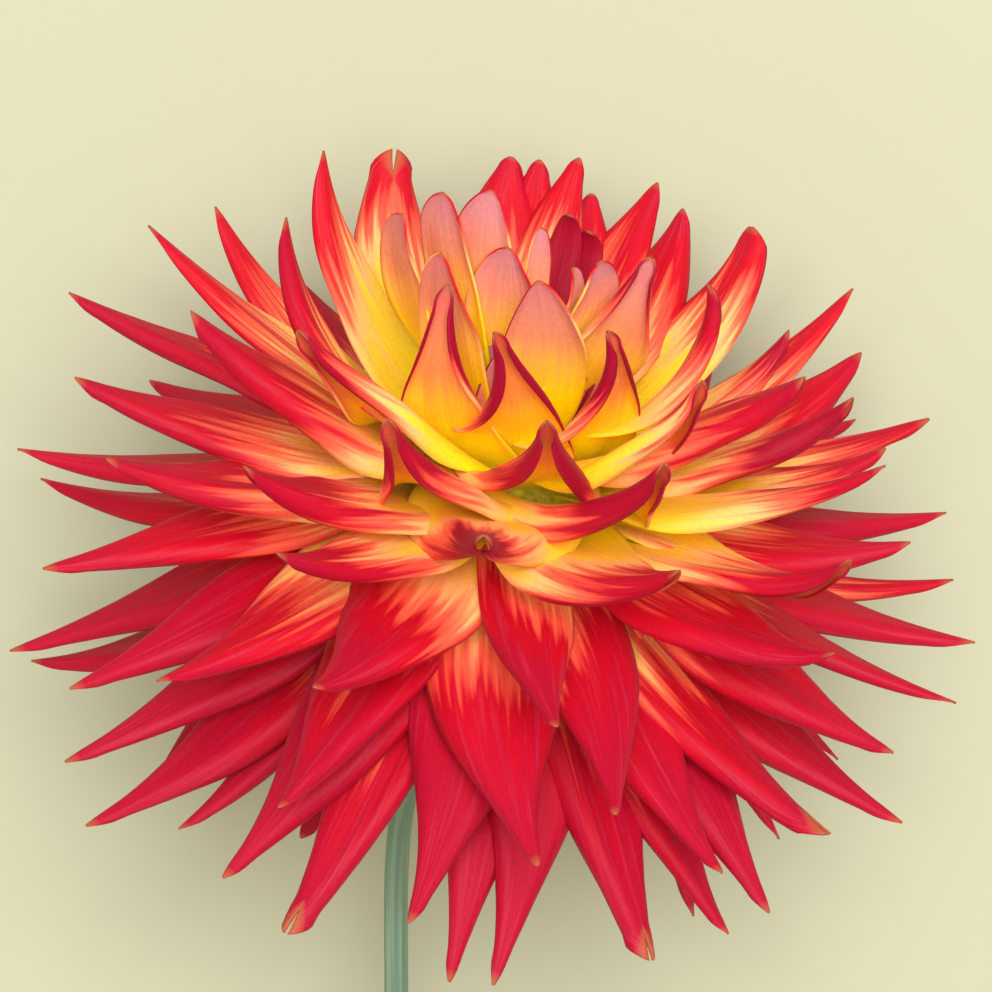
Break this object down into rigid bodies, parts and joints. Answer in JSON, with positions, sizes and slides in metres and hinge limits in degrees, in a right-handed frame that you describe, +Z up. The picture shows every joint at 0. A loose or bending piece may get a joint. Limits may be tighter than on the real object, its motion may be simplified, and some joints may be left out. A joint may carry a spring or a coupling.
{
  "type": "dahlia flower",
  "caption": "Cut cactus dahlia lying on a table: a full round head of pointed, rolled-back petals on a green cup and a plain slender stem.",
  "frame": {"origin": "on the table that the flower lies on, under the middle of its box", "axes": "+Z up from the table; +Y from the cut end of the stem towards the bloom; the bloom faces forwards and 22 degrees up"},
  "size_m": [0.1515, 0.2112, 0.1248],
  "materials": {
    "petal": "satin petal, crimson with a yellow base and a salmon back",
    "bract": "matt green bract",
    "stem": "smooth grey-green stem"
  },
  "bodies": {
    "root": {"bloom": "petal", "calyx": "bract", "stem": "stem"}
  },
  "joints": []
}
